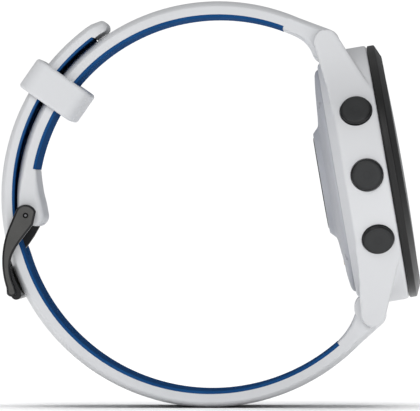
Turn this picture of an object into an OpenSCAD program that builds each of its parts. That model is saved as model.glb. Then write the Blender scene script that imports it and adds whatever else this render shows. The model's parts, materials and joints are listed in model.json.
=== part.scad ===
// GPS running watch: a round five-button head on a two-part silicone strap that is closed in a loop.
// X points the way the display faces, Y runs across the strap, Z is up. Y = 0 is the plane that halves the strap.
// The origin is under the middle of the closed watch, at the lowest point of the strap.

/* [Head] */
// Diameter of the case
case_d = 46.1; // [45.6:0.1:46.6]
// Diameter of the bezel
bezel_d = 45.8; // [45.2:0.1:46]
// Diameter of the glass
lens_d = 39; // [38:0.2:39.2]
// Height of the glass at its middle, above the case's front edge
lens_top = 2.84; // [2.7:0.02:3]
// How far the display leans back from upright, in degrees
tilt = 9.8; // [9:0.1:10.6]

/* [Buttons] */
// Diameter of a button's head
button_d = 5.6; // [5:0.1:5.8]
// How far a button's face stands from the head's axis
button_reach = 23.75; // [23.6:0.05:24]
// Angle between neighbouring buttons, in degrees
button_step = 30; // [28:0.5:32]

/* [Strap] */
// Width of the strap between the lugs
strap_w = 22; // [21.6:0.1:22]
// Thickness of the strap with its liner
strap_t = 2.95; // [2.8:0.05:3]
// Thickness of the coloured liner
liner_t = 0.55; // [0.4:0.05:0.7]
// Thickness of the free end
tail_t = 2.45; // [2.3:0.05:2.45]
// Distance between neighbouring strap holes, in degrees round the loop
hole_step = 9.5; // [9:0.25:10]

/* [Buckle] */
// Width over the buckle's arms
buckle_w = 25.8; // [25.4:0.1:26.4]
// Length of the keeper along the strap
keeper_l = 6.1; // [5.5:0.1:6.5]

/* [Hidden] */
$fn = 96;
cut = 0.01;          // lets a cutter run past the face it opens
proud = 0.04;        // how far a moulded end stands above the strap it joins
run_gap = 0.05;      // radial clearance of a pin or shaft in its hole
soft_gap = 0.15;     // clearance between the two halves of a flexing joint

// ---- head frame: x to 12 o'clock, y to 9 o'clock, z out of the display, origin on the axis under the bezel
head_c = [31.6, 42.05];
case_r = case_d / 2;
bezel_r = bezel_d / 2;
lens_r = lens_d / 2;
lens_sag = [0.14, 0.46];     // drop of the domed glass half-way out, and at its edge
lens_bottom = 1.32;
cavity_r = 20.4;
skirt_r = 21.3;      // outer radius of the bezel's skirt inside the case
wall_back = -7.6;    // where the side wall turns in to the back
ledge = [-8, -6.4];  // back and front of the ledge that the back cover screws to
ledge_r = 17.2;
cover_r = 20.2;
cover_step = -8.1;
rim_back = -9.25;

lug = [24.6, -6.9];  // lug bar in the head frame, 12 o'clock side
lug_r = 2.25;
lug_gap = strap_w / 2 + 0.15;
lug_out = [17.9, 13.35];  // half width over the lugs where they leave the case, and at their ends
bar_hole_end = lug_gap + 1.2;
lobe = [-1.18, -0.7];     // the strap end's second lobe, from the lug bar in the head frame
lobe_r = 2.1;
root_r = 2.4;
root_room = 0.4;          // room in the case for the strap end to rock
lever_y = 8.2;            // quick-release lever, along the lug bar
lever_w = 1.4;
release_travel = 1.1;

// ---- buttons, by name: angle round the head from 12 o'clock towards 9 o'clock
button_z = -3.78;
button_at = [90 - button_step, 90, 90 + button_step, button_step - 90, -90 - button_step];
pocket = 21.5;       // floor of the pocket that a button's head sinks in
boss = 19.3;         // inner end of the seal round a button's stem
stem_r = 1;
travel = 0.5;
button_base = pocket + travel + 0.2;   // inner face of a button's head

// ---- back of the head
screw_at = 19.3;
screw_r = 0.52;
window_r = 8.25;
window_z = [-12.2, -11.3];
bump_r = [10.1, 8.95];
seal_r = [17.6, 18.3];

// ---- strap loops in the X-Z plane: middle of each round stretch, inner radius and angles
upper_c = [1.35, 36.5];
upper_r = 33.05;
upper_end = 172;
liner_from = 69.6;
liner_to = 169.7;
lower_c = [-0.1, 37.35];
lower_r = 34.4;
lower_liner_from = -48.6;
lower_end = -164;
tail_c = [0.15, 37.6];
tail_r = 35.15;
tail_start = 197.5;        // the thinner free end starts inside the last stretch of full thickness
tail_end = 127;
tail_liner_t = 0.8 * liner_t;
tail_liner_to = 124.7;
liner_turn = [-163.5, 197];   // where the lining passes from the full thickness to the free end
tongue_hole = 194.5;       // angle of the strap hole that the tongue is in
hole_len = 1;
hole_r = 1.1;
badge_at = 134;
flex_at = [65.5, -44.5];   // where the upper and lower strap flex, as angles round their middles

// ---- buckle
pin = [-32.92, 34.24];
pin_r = 0.8;
tip_r = 0.45;
arm_in = strap_w / 2 + 0.3;
bar_at = 205;              // where the frame crosses the strap
bar_ring = 38.6;           // its distance from the loop's middle
tongue_w = 2.1;
tongue_swing = 5;
tongue_room = 0.45;

// ---- keeper
keeper_at = 145.2;
keeper_r = [27.95, 39.45];
keeper_wall = 1.5;

// ================= helpers =================

function arc(c, r, a0, a1, n = 12) = [for (i = [0:n]) let (a = a0 + (a1 - a0) * i / n) c + r * [cos(a), sin(a)]];
function on_ring(c, r, a) = c + r * [cos(a), sin(a)];
// a point of the head frame's x-z plane, in the watch's X-Z plane
function from_head(p) = head_c + p[0] * [-sin(tilt), cos(tilt)] + p[1] * [cos(tilt), sin(tilt)];

lug_pt = [from_head(lug), from_head([-lug[0], lug[1]])];
lobe_pt = [from_head(lug + lobe), from_head([-lug[0] - lobe[0], lug[1] + lobe[1]])];
mid_r = strap_t / 2;
flex_pt = [on_ring(upper_c, upper_r + mid_r, flex_at[0]), on_ring(lower_c, lower_r + mid_r, flex_at[1])];

// places children of the head frame
module head() { translate([head_c[0], 0, head_c[1]]) rotate([0, 90 - tilt, 0]) rotate([0, 0, 180]) children(); }

// a flat shape of the X-Z plane made w thick, centred on Y = 0
module plate(w) { rotate([90, 0, 0]) linear_extrude(height = w, center = true) children(); }

// a round bar along Y through a point of the X-Z plane
module cross_bar(p, r, w) { translate([p[0], 0, p[1]]) rotate([90, 0, 0]) cylinder(r = r, h = w, center = true); }

// the same, from one Y to another
module bar_span(p, r, y0, y1) { translate([p[0], y0, p[1]]) rotate([-90, 0, 0]) cylinder(r = r, h = y1 - y0); }

// a ring between two radii, from z0 to z1
module ring(r_out, r_in, z0, z1) {
    translate([0, 0, z0]) difference() {
        cylinder(r = r_out, h = z1 - z0);
        translate([0, 0, -cut]) cylinder(r = r_in, h = z1 - z0 + 2 * cut);
    }
}

module disc(r, z0, z1) { translate([0, 0, z0]) cylinder(r = r, h = z1 - z0); }

module block(size, at) { translate(at) cube(size, center = true); }

// strap cross-section: x is the distance from the loop's middle, y runs across the strap
module strap_profile(r0, r1, w, in_round, out_round) {
    h = w / 2;
    polygon(concat(
        arc([r0 + in_round, in_round - h], in_round, 180, 270, 3),
        arc([r1 - out_round, out_round - h], out_round, 270, 360, 6),
        arc([r1 - out_round, h - out_round], out_round, 0, 90, 6),
        arc([r0 + in_round, h - in_round], in_round, 90, 180, 3)));
}

// a stretch of strap round a middle c
module strap_arc(c, r0, r1, a0, a1, in_round = 0.25, out_round = 1.1, w = strap_w) {
    translate([c[0], 0, c[1]]) rotate([90, 0, 0]) rotate([0, 0, a0])
        rotate_extrude(angle = a1 - a0) strap_profile(r0, r1, w, in_round, out_round);
}

// wire wound round the z axis, its middle line rising from 0 to h
module coil(r, wire, h, turns) {
    steps = round(12 * turns);
    sides = 6;
    rise = atan(h / turns / (2 * PI * r));
    points = [for (i = [0:steps], j = [0:sides - 1])
        let (a = 360 * turns * i / steps, b = 360 * j / sides)
        [cos(a) * (r + wire * cos(b)) + sin(a) * sin(rise) * wire * sin(b),
         sin(a) * (r + wire * cos(b)) - cos(a) * sin(rise) * wire * sin(b),
         h * i / steps + cos(rise) * wire * sin(b)]];
    last = steps * sides;
    polyhedron(points, concat(
        [[for (j = [0:sides - 1]) j]],
        [for (i = [0:steps - 1], j = [0:sides - 1])
            let (p = i * sides + j, q = i * sides + (j + 1) % sides) [p, p + sides, q + sides, q]],
        [[for (j = [sides - 1:-1:0]) last + j]]));
}

// places children at a button, with z pointing out of the head
module at_button(angle) { rotate([0, 0, angle]) translate([0, 0, button_z]) rotate([0, 90, 0]) children(); }

module each_button() { for (angle = button_at) at_button(angle) children(); }

// ================= head: case and bezel =================

module lug_shape() {
    front = 68;      // direction from the lug bar at which the sloping front meets the round end
    intersection() {
        rotate([90, 0, 0]) linear_extrude(height = case_d, center = true) polygon(concat(
            [[12, -0.1], [14, -0.1]],
            arc(lug, lug_r, front, -100, 16),
            [[21, -8.8], [16.5, -8.05], [12, -7.9]]));
        for (side = [-1, 1]) linear_extrude(height = 20, center = true, convexity = 2)
            polygon([[12, side * lug_gap], [12, side * (lug_out[0] + 1)], [14.5, side * lug_out[0]],
                [27.4, side * lug_out[1]], [27.4, side * lug_gap]]);
    }
}

module case_body() color("whitesmoke") head() difference() {
    union() {
        rotate_extrude() polygon(concat(
            [[0, rim_back], [cover_r + 0.35, rim_back]],
            arc([case_r - 1.2, wall_back - 0.1], 1.2, -50, 0, 5),
            arc([case_r - 0.3, -0.35], 0.3, 0, 90, 4),
            [[0, -0.05]]));
        lugs_both();
    }
    disc(cavity_r, ledge[1], 1);
    disc(skirt_r + 0.1, -1.4, 1);
    disc(ledge_r, ledge[0] - 1, 0);
    disc(cover_r + 0.15, rim_back - 1, ledge[0]);
    ring(seal_r[1], seal_r[0], ledge[0] - cut, ledge[0] + 0.5);
    for (a = [45:90:315]) rotate([0, 0, a]) translate([screw_at, 0, ledge[0] - cut]) cylinder(r = screw_r, h = 1.3);
    each_button() {
        translate([0, 0, pocket]) cylinder(r = button_d / 2 + 0.15, h = 5);
        translate([0, 0, 17]) cylinder(r = stem_r + run_gap, h = 6);
    }
    for (end = [-1, 1]) {
        translate([end * lug[0], 0, lug[1]]) rotate([90, 0, 0])
            cylinder(r = root_r + root_room, h = 2 * lug_gap, center = true);
        translate([end * (lug[0] + lobe[0]), 0, lug[1] + lobe[1]]) rotate([90, 0, 0])
            cylinder(r = lobe_r + root_room, h = 2 * lug_gap, center = true);
        translate([end * lug[0], 0, lug[1]]) rotate([90, 0, 0])
            cylinder(r = tip_r + run_gap, h = 2 * bar_hole_end, center = true);
    }
}

module lugs_both() {
    lug_shape();
    mirror([1, 0, 0]) lug_shape();
}

module bezel() color("dimgray") head() rotate_extrude() polygon([
    [skirt_r - 0.8, -1.3], [skirt_r, -1.3], [skirt_r, 0], [bezel_r - 0.12, 0], [bezel_r, 0.12],
    [bezel_r, 1.28], [bezel_r - 0.08, 1.4], [20.75, 2.33], [20.55, 2.4], [lens_r + 0.1, 2.44],
    [lens_r + 0.1, 1.2], [17.8, 1.2], [17.8, 0.6], [skirt_r - 0.8, 0.6]]);

module lens() color("black") head() rotate_extrude() polygon([
    [0, lens_bottom], [lens_r - 0.2, lens_bottom], [lens_r, lens_bottom + 0.2],
    [lens_r, lens_top - lens_sag[1] - 0.1], [lens_r - 0.1, lens_top - lens_sag[1]],
    [lens_r / 2, lens_top - lens_sag[0]], [0, lens_top]]);

module lens_seal() color("darkslategray") head() ring(lens_r - 0.1, 17.9, 1.2, lens_bottom);

module display_panel() color("midnightblue") head() {
    disc(17.4, 0.45, lens_bottom);
    block([3, 6, 0.3], [-15, 0, 0.3]);
}

// ================= head: inside =================

module chassis() color("dimgray") head() difference() {
    union() {
        disc(20.2, -0.75, 0.1);
        ring(20.2, 19.7, -1.9, -0.74);
    }
    block([3.4, 6.6, 2], [-15, 0, 0]);
    for (a = [20, 200]) rotate([0, 0, a]) block([1.2, 3.4, 3], [18.9, 0, 0]);
}

module main_board() color("darkgreen") head() difference() {
    disc(19.4, -1.75, -0.95);
    for (a = [45:90:315]) rotate([0, 0, a]) translate([18, 0, -3]) cylinder(r = 0.6, h = 3);
}

module board_shields() color("silver") head() {
    block([10, 8, 1.1], [6.5, -5, -2.3]);
    block([8, 7, 1.1], [6, 5.5, -2.3]);
    block([9, 9, 1.1], [-6, 5, -2.3]);
    block([5, 5, 0.9], [-5, -5, -2.2]);
}

module antenna_contacts() color("gold") head() for (a = [20, 200]) rotate([0, 0, a]) {
    block([0.8, 2.6, 0.2], [18.9, 0, -0.85]);
    block([0.2, 2.2, 1.4], [18.6, 0, -0.1]);
    block([0.8, 2.2, 0.15], [18.9, 0, 0.52]);
}

module battery() color("silver") head() intersection() {
    disc(15.6, -6.3, -3);
    block([23.2, 22, 12], [-2.4, 0, -5]);
}

module vibration_motor() color("lightgray") head() translate([13.5, 0, 0]) {
    disc(3.9, -6.2, -3.4);
    disc(2.6, -3.41, -3.2);
}

module beeper() color("goldenrod") head() translate([-11, 0, 0]) {
    disc(4.5, -7.6, -7.2);
    disc(3.2, -7.21, -6.9);
}

module switch_flex() color("orange") head() for (side = [-1, 1]) rotate([0, 0, side * 90 - 48])
    translate([0, 0, button_z - 1.7]) rotate_extrude(angle = 96) translate([16.1, 0]) square([0.2, 3.4]);

module tact_switches() color("gainsboro") head() each_button() {
    block([3.4, 3.4, 1.1], [0, 0, 17.05]);
    disc(0.9, 17.59, 17.95);
}

// rubber collars that seal the stems, against the inside of the case wall
module button_seals() color("black") head() intersection() {
    each_button() ring(1.75, stem_r + run_gap, boss, cavity_r + 0.5);
    disc(cavity_r, -8, 0);
}

// ================= head: buttons =================

module button(i) color("dimgray") head() at_button(button_at[i]) {
    rim = 0.5;
    difference() {
        rotate_extrude() polygon(concat(
            [[0, button_base], [button_d / 2, button_base]],
            arc([button_d / 2 - rim, button_reach - rim], rim, 0, 90, 6),
            [[1.7, button_reach - 0.05], [0, button_reach - 0.08]]));
        ring(2.4, 1.35, pocket, 23.2);
    }
    difference() {
        disc(stem_r, 18.55, button_base + cut);
        ring(2, 0.75, 18.85, 19.15);
    }
}

module stem_clip(i) color("silver") head() at_button(button_at[i]) difference() {
    ring(1.6, 0.75, 18.88, 19.12);
    translate([1.2, 0, 19]) cube([2, 1.1, 1], center = true);
}

module return_spring(i) color("silver") head() at_button(button_at[i])
    translate([0, 0, pocket + 0.15]) coil(1.85, 0.14, 1.4, 3.5);

// ================= head: back =================

module case_seal() color("black") head() ring(seal_r[1] - 0.05, seal_r[0] + 0.05, cover_step, ledge[0] + 0.5);

module rear_cover() color("whitesmoke") head() difference() {
    rotate_extrude() polygon(concat(
        [[window_r + 0.1 - 0.9, -9.9], [16.8, -9.4], [16.8, cover_step], [cover_r, cover_step], [cover_r, -9.3],
         [cover_r - 0.25, -9.75], [19.3, -10.25], [17, -10.55], [bump_r[0] + 0.25, -10.8]],
        arc([bump_r[1] - 0.15, window_z[0] + 0.3], 0.15, -30, -90, 3),
        [[window_r + 0.1, window_z[0] + 0.2], [window_r + 0.1, window_z[1]], [window_r - 0.8, window_z[1]]]));
    for (a = [45:90:315]) rotate([0, 0, a]) translate([screw_at, 0, 0]) {
        disc(1.05, -11, -9.35);
        disc(0.6, -9.4, -8);
    }
    block([3, 9.4, 2], [-14.6, 0, -11.15]);
    for (i = [-1.5:1:1.5]) translate([-14.6, 2.1 * i, 0]) disc(0.55, -11, -8);
}

module sensor_window() color("black") head() rotate_extrude() polygon([
    [0, window_z[1]], [window_r, window_z[1]], [window_r, window_z[0] + 0.12],
    [window_r - 0.12, window_z[0]], [0, window_z[0]]]);

module sensor_board() color("darkgreen") head() disc(9, -9.35, -8.75);

module sensor_leds() color("lime") head() {
    for (a = [0:120:240]) rotate([0, 0, a]) block([1.4, 1.8, 0.8], [2, 0, -9.75]);
}

module photodiodes() color("slategray") head() for (a = [45:90:315]) rotate([0, 0, a])
    block([2, 2.4, 0.6], [5.4, 0, -9.65]);

module light_barrier() color("black") head() difference() {
    disc(7.3, -11.25, -9.36);
    for (a = [45:90:315]) rotate([0, 0, a]) block([2.6, 3, 4], [5.4, 0, -10.3]);
    disc(3.3, -12, -9);
}

module charge_contacts() color("gold") head() for (i = [-1.5:1:1.5]) translate([-14.6, 2.1 * i, 0]) {
    disc(0.5, -10.5, -9);
    disc(0.8, -9.01, -8.7);
}

module rear_screws() color("dimgray") head() for (a = [45:90:315]) rotate([0, 0, a]) translate([screw_at, 0, 0])
    difference() {
        union() {
            disc(0.98, -9.95, -9.4);
            disc(screw_r - 0.02, -9.41, -6.9);
        }
        translate([0, 0, -10]) cylinder(r = 0.45, h = 0.35, $fn = 6);
    }

// ================= strap ends at the lugs =================

// direction from the lug bar to the inside of the strap end
function lever_dir(i) = (lobe_pt[i] - lug_pt[i]) / norm(lobe_pt[i] - lug_pt[i]);

// places children at a lug bar, with x towards the inside of the strap end and y along the bar
module at_lug(i) {
    d = lever_dir(i);
    translate([lug_pt[i][0], 0, lug_pt[i][1]]) rotate([0, -atan2(d[1], d[0]), 0]) children();
}

module strap_root(i) color("whitesmoke") difference() {
    plate(strap_w) hull() {
        translate(lug_pt[i]) circle(r = root_r, $fn = 48);
        translate(lobe_pt[i]) circle(r = lobe_r, $fn = 48);
        translate(flex_pt[i]) circle(r = mid_r - 0.03, $fn = 48);
    }
    cross_bar(lug_pt[i], 0.78, strap_w + 1);
    at_lug(i) block([5, release_travel + lever_w + 0.5, 1.6],
        [2.5, lever_y - release_travel / 2, 0]);
}

module lug_bar(i) color("silver") difference() {
    union() {
        bar_span(lug_pt[i], 0.75, -strap_w / 2 + 0.05, strap_w / 2 - 0.05);
        bar_span(lug_pt[i], tip_r, -bar_hole_end + 0.15, 0);
    }
    bar_span(lug_pt[i], tip_r + run_gap, -7, strap_w / 2 + 1);
    at_lug(i) block([5, release_travel + lever_w + 0.4, 1.1],
        [2.5, lever_y - release_travel / 2, 0]);
}

module bar_spring(i) color("silver") translate([lug_pt[i][0], -6.8, lug_pt[i][1]]) rotate([-90, 0, 0])
    coil(0.3, 0.1, 12.2, 9);

module release_pin(i) color("silver") {
    bar_span(lug_pt[i], tip_r, 5.6, bar_hole_end - 0.15);
    at_lug(i) {
        block([2.6, lever_w, 0.9], [1.3, lever_y, 0]);
        translate([2.3, lever_y, 0]) rotate([90, 0, 0]) cylinder(r = 0.62, h = lever_w, center = true);
    }
}

// ================= upper half of the strap, with the buckle =================

// thick end that holds the buckle's pin
module knob_shape() {
    knob_from = liner_to + 0.2;
    inner = upper_r - proud;
    outer = upper_r + strap_t + proud;
    polygon(concat(
        [on_ring(upper_c, inner, knob_from), on_ring(upper_c, inner, upper_end), [-30.75, 38.6], [-30.05, 36.2]],
        arc([-31.55, 34.1], 1.85, 20, -75, 8),
        arc(pin, 1.62, -80, -180, 8),
        [[-34.7, 36.6], on_ring(upper_c, outer, upper_end), on_ring(upper_c, outer, knob_from)]));
}

module upper_strap() color("whitesmoke") difference() {
    union() {
        strap_arc(upper_c, upper_r, upper_r + strap_t, flex_at[0], upper_end - 1);
        plate(strap_w) knob_shape();
    }
    strap_arc(upper_c, upper_r - 1, upper_r + liner_t, liner_from, liner_to, 0.1, 0.1, strap_w + 1);
    cross_bar(flex_pt[0], mid_r + soft_gap, strap_w + 1);
    cross_bar(pin, pin_r + 0.02, strap_w + 1);
    plate(tongue_w + 0.6) polygon(concat(arc(pin, 2.05, 30, 200, 10), [[-36, 30], [-29, 30]]));
}

module upper_strap_liner() color("steelblue")
    strap_arc(upper_c, upper_r, upper_r + liner_t, liner_from, liner_to, 0.1, 0.1);

module buckle_pin() color("silver") {
    cross_bar(pin, pin_r, strap_w - 0.1);
    cross_bar(pin, tip_r, buckle_w - 0.1);
}

// ================= lower half of the strap =================

module tongue_shape() polygon(concat(
    [[-31.5, 33.6], [-30.95, 32.2], [-31.9, 30.5], [-32.9, 29.05], [-34.3, 27.3], [-35.5, 25.4], [-35.95, 23.8]],
    [on_ring(lower_c, lower_r + strap_t + 1.4, -157), on_ring(lower_c, lower_r + strap_t + 1.4, -153.4)],
    [on_ring(lower_c, lower_r + strap_t + 2.3, -153.2), on_ring(lower_c, lower_r + strap_t + 2.35, -157)],
    [[-37, 23.7], [-36.75, 25.5], [-35.9, 27.4], [-34.85, 29], [-34.25, 30.8], [-34.4, 33.6]]));

// the way through the strap that the tongue needs over its whole swing
module tongue_way() plate(tongue_w + 2 * tongue_room) offset(delta = tongue_room) union() {
    for (a = [0, tongue_swing / 2, tongue_swing]) translate(pin) rotate(-a) translate(-pin) hull() {
        polygon([[-34.25, 30.8], [-31.9, 30.5], [-32.9, 29.05], [-34.3, 27.3], [-34.85, 29]]);
    }
    for (a = [0, tongue_swing / 2, tongue_swing]) translate(pin) rotate(-a) translate(-pin)
        polygon([[-34.85, 29], [-34.3, 27.3], [-35.5, 25.4], [-36.2, 25], [-36.75, 25.5], [-35.9, 27.4]]);
}

// an oval hole in the strap, at an angle round the middle c
module strap_hole(c, a) {
    translate([c[0], 0, c[1]]) rotate([0, -a, 0]) translate([30, 0, 0]) rotate([0, 90, 0])
        linear_extrude(height = 12) {
            translate([hole_len / 2, 0]) circle(r = hole_r, $fn = 32);
            translate([-hole_len / 2, 0]) circle(r = hole_r, $fn = 32);
            square([hole_len, 2 * hole_r], center = true);
        }
}

module strap_holes() {
    for (i = [1:3]) strap_hole(lower_c, tongue_hole + i * hole_step);
    for (i = [1:5]) strap_hole(tail_c, tongue_hole - i * hole_step);
}

module lower_strap() color("whitesmoke") difference() {
    union() {
        strap_arc(lower_c, lower_r, lower_r + strap_t, flex_at[1], lower_end);
        strap_arc(tail_c, tail_r, tail_r + tail_t, tail_start, tail_end);
        plate(strap_w - 2) tail_tip();
    }
    strap_arc(lower_c, lower_r - 1, lower_r + liner_t, lower_liner_from, liner_turn[0], 0.1, 0.1, strap_w + 1);
    strap_arc(tail_c, tail_r - 1, tail_r + tail_liner_t, liner_turn[1], tail_liner_to, 0.1, 0.1, strap_w + 1);
    cross_bar(flex_pt[1], mid_r + soft_gap, strap_w + 1);
    tongue_way();
    strap_holes();
    badge_blank(0);
}

module tail_tip() polygon(concat(
    [on_ring(tail_c, tail_r + 0.3, tail_end + 2)],
    arc(on_ring(tail_c, tail_r + 1.05, 123), 1.05, -60, 100, 8),
    [on_ring(tail_c, tail_r + tail_t - 0.2, tail_end + 2)]));

module lower_strap_liner() color("steelblue") difference() {
    union() {
        strap_arc(lower_c, lower_r, lower_r + liner_t, lower_liner_from, liner_turn[0], 0.1, 0.1);
        strap_arc(tail_c, tail_r, tail_r + tail_liner_t, liner_turn[1], tail_liner_to + 1, 0.1, 0.1);
    }
    tongue_way();
    strap_holes();
}

// plain pill set in the free end's outer face
module badge_blank(gap) {
    translate([tail_c[0], 0, tail_c[1]]) rotate([0, -badge_at, 0]) translate([tail_r + tail_t - 0.5, 0, 0])
        rotate([0, 90, 0]) linear_extrude(height = 0.6 - gap) {
            for (side = [-1, 1]) translate([0, side * 2.3]) circle(r = 1.2 - gap, $fn = 32);
            square([2.4 - 2 * gap, 4.6], center = true);
        }
}

module strap_badge() color("dimgray") badge_blank(0.02);

// ================= keeper, buckle frame and tongue =================

module rounded(x, y, r) polygon(concat(
    arc([x / 2 - r, y / 2 - r], r, 0, 90, 6), arc([r - x / 2, y / 2 - r], r, 90, 180, 6),
    arc([r - x / 2, r - y / 2], r, 180, 270, 6), arc([x / 2 - r, r - y / 2], r, 270, 360, 6)));

module keeper() color("whitesmoke") {
    deep = keeper_r[1] - keeper_r[0];
    wide = strap_w + 0.6 + 2 * keeper_wall;
    translate([lower_c[0], 0, lower_c[1]]) rotate([0, -keeper_at, 0])
        translate([(keeper_r[0] + keeper_r[1]) / 2, 0, 0]) difference() {
            intersection() {
                plate(wide) rounded(deep, keeper_l, 1);
                linear_extrude(height = keeper_l, center = true) rounded(deep, wide, 2);
            }
            linear_extrude(height = keeper_l + 1, center = true)
                rounded(deep - 2 * keeper_wall, wide - 2 * keeper_wall, 0.5);
        }
}

module arm_shape() difference() {
    union() {
        polygon(concat(
            arc(pin, 1.95, 20, 150, 10),
            arc([-21.45, 26.15], 15.65, 155, 199, 10),
            arc(on_ring(lower_c, bar_ring, bar_at + 1.6), 1.05, 200, 330, 6),
            arc(on_ring(lower_c, bar_ring, bar_at - 1.6), 1.05, 20, 90, 3),
            [[-35.6, 24.6], [-35.3, 26.6], [-34.5, 28.3], [-33.2, 30.2], [-31.75, 32.4]]));
    }
    translate(pin) circle(r = tip_r + run_gap);
}

module buckle_frame() color("dimgray") {
    arm_t = buckle_w / 2 - arm_in;
    for (side = [-1, 1]) translate([0, side * (arm_in + arm_t / 2), 0]) plate(arm_t) arm_shape();
    difference() {
        translate([lower_c[0], 0, lower_c[1]]) rotate([0, -bar_at, 0]) translate([bar_ring, 0, 0])
            plate(2 * arm_in + 0.02) rounded(2.1, 3.3, 0.8);
        translate([lower_c[0], 0, lower_c[1]]) rotate([0, -bar_at, 0]) translate([bar_ring + 1, 0, 0])
            block([1.9, tongue_w + 0.5, 5], [0, 0, 0]);
    }
}

module buckle_tongue() color("dimgray") difference() {
    union() {
        cross_bar(pin, 1.55, tongue_w);
        plate(tongue_w) tongue_shape();
    }
    cross_bar(pin, pin_r + run_gap, tongue_w + 1);
}

case_body();
bezel();
lens();
lens_seal();
display_panel();
chassis();
main_board();
board_shields();
antenna_contacts();
battery();
vibration_motor();
beeper();
switch_flex();
tact_switches();
button_seals();
case_seal();
rear_cover();
sensor_window();
sensor_board();
sensor_leds();
photodiodes();
light_barrier();
charge_contacts();
rear_screws();
button(0);  // light_button
button(1);  // up_button
button(2);  // down_button
button(3);  // start_button
button(4);  // lap_button
stem_clip(0);  // light_clip
stem_clip(1);  // up_clip
stem_clip(2);  // down_clip
stem_clip(3);  // start_clip
stem_clip(4);  // lap_clip
return_spring(0);  // light_spring
return_spring(1);  // up_spring
return_spring(2);  // down_spring
return_spring(3);  // start_spring
return_spring(4);  // lap_spring
strap_root(0);  // upper_strap_root
lug_bar(0);  // upper_lug_bar
bar_spring(0);  // upper_bar_spring
release_pin(0);  // upper_release_pin
upper_strap();
upper_strap_liner();
buckle_pin();
strap_root(1);  // lower_strap_root
lug_bar(1);  // lower_lug_bar
bar_spring(1);  // lower_bar_spring
release_pin(1);  // lower_release_pin
lower_strap();
lower_strap_liner();
strap_badge();
keeper();
buckle_frame();
buckle_tongue();
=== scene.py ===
"""Visual model of the sports watch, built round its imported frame.

Lengths are in millimetres, and mesh_object() turns them into metres. In the side plane a point is (X, Z),
and Y runs across the strap. The head has axes of its own: u and w across the display, n out of it.
"""

import json
import math

import bmesh
import bpy
from mathutils import Matrix, Vector

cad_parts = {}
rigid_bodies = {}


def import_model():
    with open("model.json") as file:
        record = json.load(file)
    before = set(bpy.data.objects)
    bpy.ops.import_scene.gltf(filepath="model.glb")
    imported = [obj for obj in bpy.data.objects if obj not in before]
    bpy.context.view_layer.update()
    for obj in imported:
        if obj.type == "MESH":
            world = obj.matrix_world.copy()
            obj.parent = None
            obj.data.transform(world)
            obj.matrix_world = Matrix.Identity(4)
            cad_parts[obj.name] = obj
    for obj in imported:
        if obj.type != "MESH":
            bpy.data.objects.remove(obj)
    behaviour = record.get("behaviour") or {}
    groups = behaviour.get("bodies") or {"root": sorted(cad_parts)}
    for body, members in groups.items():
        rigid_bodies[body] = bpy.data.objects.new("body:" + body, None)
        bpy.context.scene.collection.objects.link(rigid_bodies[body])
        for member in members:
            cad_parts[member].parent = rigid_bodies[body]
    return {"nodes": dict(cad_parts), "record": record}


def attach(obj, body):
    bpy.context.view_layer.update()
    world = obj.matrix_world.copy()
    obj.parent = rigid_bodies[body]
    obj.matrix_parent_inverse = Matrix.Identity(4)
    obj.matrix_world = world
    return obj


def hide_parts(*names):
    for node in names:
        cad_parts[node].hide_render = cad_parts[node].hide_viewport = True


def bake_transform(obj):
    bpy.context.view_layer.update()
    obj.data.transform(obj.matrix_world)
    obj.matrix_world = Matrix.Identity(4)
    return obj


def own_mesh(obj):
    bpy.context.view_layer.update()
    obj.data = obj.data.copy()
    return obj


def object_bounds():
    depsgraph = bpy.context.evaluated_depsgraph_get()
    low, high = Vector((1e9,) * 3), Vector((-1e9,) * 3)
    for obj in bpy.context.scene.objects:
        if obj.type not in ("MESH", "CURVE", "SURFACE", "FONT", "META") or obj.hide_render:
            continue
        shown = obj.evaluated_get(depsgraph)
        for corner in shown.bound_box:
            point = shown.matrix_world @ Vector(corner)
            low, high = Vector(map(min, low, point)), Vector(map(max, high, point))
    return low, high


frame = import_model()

CAD_BOX = [list(corner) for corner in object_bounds()]
MM = 0.001

# ---------------------------------------------------------------- places, from the record

JOINT = {j["name"]: j for j in frame["record"]["behaviour"]["joints"]}
MOUNT = {m["name"]: m for m in frame["record"]["mounts"]}


def side_point(values):
    return Vector((values[0] / MM, values[2] / MM))


UPPER_LUG = side_point(JOINT["upper_lug_hinge"]["pos_m"])
LOWER_LUG = side_point(JOINT["lower_lug_hinge"]["pos_m"])
PIN = side_point(JOINT["buckle_swing"]["pos_m"])
UPPER_C = side_point(JOINT["keeper_slide"]["pos_m"])
LOWER_C = Vector((-0.1, 37.35))
TAIL_C = Vector((0.15, 37.6))

BACK_AXIS = Vector(MOUNT["wrist_face"]["axis"])
N_AXIS = -BACK_AXIS.normalized()
U_AXIS = Vector((-N_AXIS.z, 0, N_AXIS.x))
W_AXIS = Vector((0, -1, 0))
WINDOW_BACK = 12.2
HEAD = Vector(MOUNT["wrist_face"]["pos_m"]) / MM + N_AXIS * WINDOW_BACK
HEAD_MATRIX = Matrix((
    (U_AXIS.x, W_AXIS.x, N_AXIS.x, HEAD.x),
    (U_AXIS.y, W_AXIS.y, N_AXIS.y, HEAD.y),
    (U_AXIS.z, W_AXIS.z, N_AXIS.z, HEAD.z),
    (0, 0, 0, 1)))

# ---------------------------------------------------------------- sizes, as in the CAD

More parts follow.
